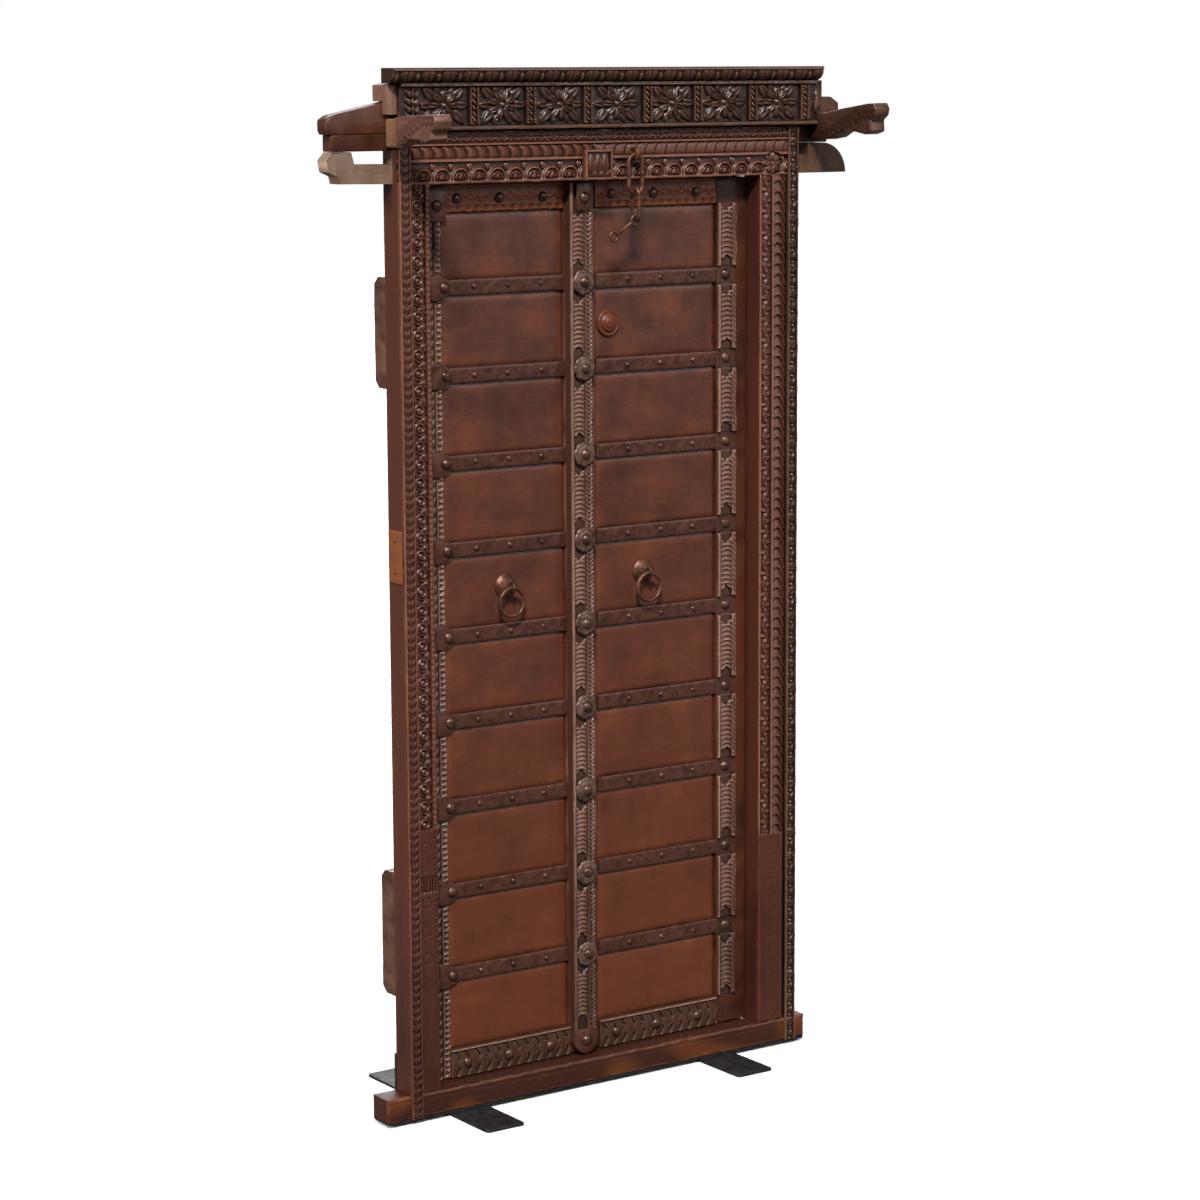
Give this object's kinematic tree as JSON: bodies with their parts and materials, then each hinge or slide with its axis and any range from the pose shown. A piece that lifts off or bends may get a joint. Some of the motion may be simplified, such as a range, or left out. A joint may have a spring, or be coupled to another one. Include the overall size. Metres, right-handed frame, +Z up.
{
  "type": "carved temple door",
  "caption": "Carved double-leaf wooden door in its frame, with a cornice, bracket heads, iron straps, ring pulls, a door chain and a flat steel stand.",
  "frame": {"origin": "on the floor, under the middle of the overall box", "axes": "+X along the door to the right as seen from its carved front, +Y from the carved front to the back, +Z up"},
  "size_m": [1.3, 0.55, 2.158],
  "materials": {
    "dark_wood": "dark stained and oiled hardwood, worn smooth",
    "black_brown_wood": "near-black aged carved hardwood with a slight sheen",
    "red_brown_wood": "red-brown oiled hardwood, satin",
    "weathered_wood": "dry weathered carved hardwood",
    "dark_iron": "old forged iron, brown and waxed",
    "rusty_iron": "rust-brown forged iron, rubbed bright on the edges",
    "black_steel": "matt black painted steel"
  },
  "bodies": {
    "frame": {"left_jamb": "dark_wood", "right_jamb": "dark_wood", "left_outer_strip": "black_brown_wood", "right_outer_strip": "black_brown_wood", "sill": "red_brown_wood", "sill_rear_rail": "dark_wood", "lintel": "dark_wood", "lintel_rear_rail": "dark_wood", "head_beam": "red_brown_wood", "cornice_rail": "dark_wood", "back_board": "dark_wood", "frieze_board": "black_brown_wood", "cornice_crown": "black_brown_wood", "left_bracket": "weathered_wood", "right_bracket": "weathered_wood", "left_upper_cleat": "dark_wood", "left_lower_cleat": "dark_wood", "right_upper_cleat": "dark_wood", "right_lower_cleat": "dark_wood", "side_patch": "red_brown_wood", "patch_nails": "dark_iron", "chain_staple": "rusty_iron", "stand_base_bar": "black_steel", "stand_left_foot": "black_steel", "stand_right_foot": "black_steel", "stand_uprights": "black_steel", "stand_screws": "black_steel"},
    "left_leaf": {"left_hinge_stile": "dark_wood", "left_inner_stile": "dark_wood", "left_top_rail": "dark_wood", "left_bottom_rail": "dark_wood", "left_panel_board": "red_brown_wood", "left_straps": "dark_iron", "left_strap_rivets": "dark_iron", "left_stile_plates": "dark_iron", "left_plate_rivets": "dark_iron", "meeting_stile": "weathered_wood", "meeting_bosses": "dark_iron", "boss_rivets": "dark_iron", "left_back_ledges": "dark_wood", "left_pull_dome": "dark_iron", "left_pull_eye": "rusty_iron"},
    "right_leaf": {"right_hinge_stile": "dark_wood", "right_carved_strip": "weathered_wood", "right_top_rail": "dark_wood", "right_bottom_rail": "dark_wood", "right_panel_board": "red_brown_wood", "right_straps": "dark_iron", "right_strap_rivets": "dark_iron", "right_round_boss": "red_brown_wood", "right_back_ledges": "dark_wood", "right_pull_dome": "dark_iron", "right_pull_eye": "rusty_iron"},
    "left_pull_ring": {"left_ring": "rusty_iron"},
    "right_pull_ring": {"right_ring": "rusty_iron"},
    "upper_link": {"chain_upper_link": "rusty_iron"},
    "lower_link": {"chain_lower_link": "rusty_iron"},
    "hasp": {"chain_hasp": "rusty_iron"}
  },
  "joints": [
    {"name": "left_leaf_swing", "type": "hinge", "parent": "frame", "child": "left_leaf", "pos_m": [-0.405, 0.004, 0.067], "axis": [0, 0, 1], "range_deg": [0, 95]},
    {"name": "right_leaf_swing", "type": "hinge", "parent": "frame", "child": "right_leaf", "pos_m": [0.378, 0.004, 0.067], "axis": [0, 0, -1], "range_deg": [0, 95]},
    {"name": "left_ring_swing", "type": "hinge", "parent": "left_leaf", "child": "left_pull_ring", "pos_m": [-0.221, -0.0395, 1.0943], "axis": [1, 0, 0], "range_deg": [-90, 15]},
    {"name": "right_ring_swing", "type": "hinge", "parent": "right_leaf", "child": "right_pull_ring", "pos_m": [0.129, -0.0395, 1.0943], "axis": [1, 0, 0], "range_deg": [-90, 15]},
    {"name": "upper_link_swing", "type": "hinge", "parent": "frame", "child": "upper_link", "pos_m": [0.066, -0.082, 1.971], "axis": [0, 1, 0], "range_deg": [-35, 35]},
    {"name": "lower_link_swing", "type": "hinge", "parent": "upper_link", "child": "lower_link", "pos_m": [0.066, -0.082, 1.8998], "axis": [1, 0, 0], "range_deg": [-85, 20]},
    {"name": "hasp_swing", "type": "hinge", "parent": "lower_link", "child": "hasp", "pos_m": [0.066, -0.082, 1.8446], "axis": [0, 1, 0], "range_deg": [-110, 30]}
  ]
}
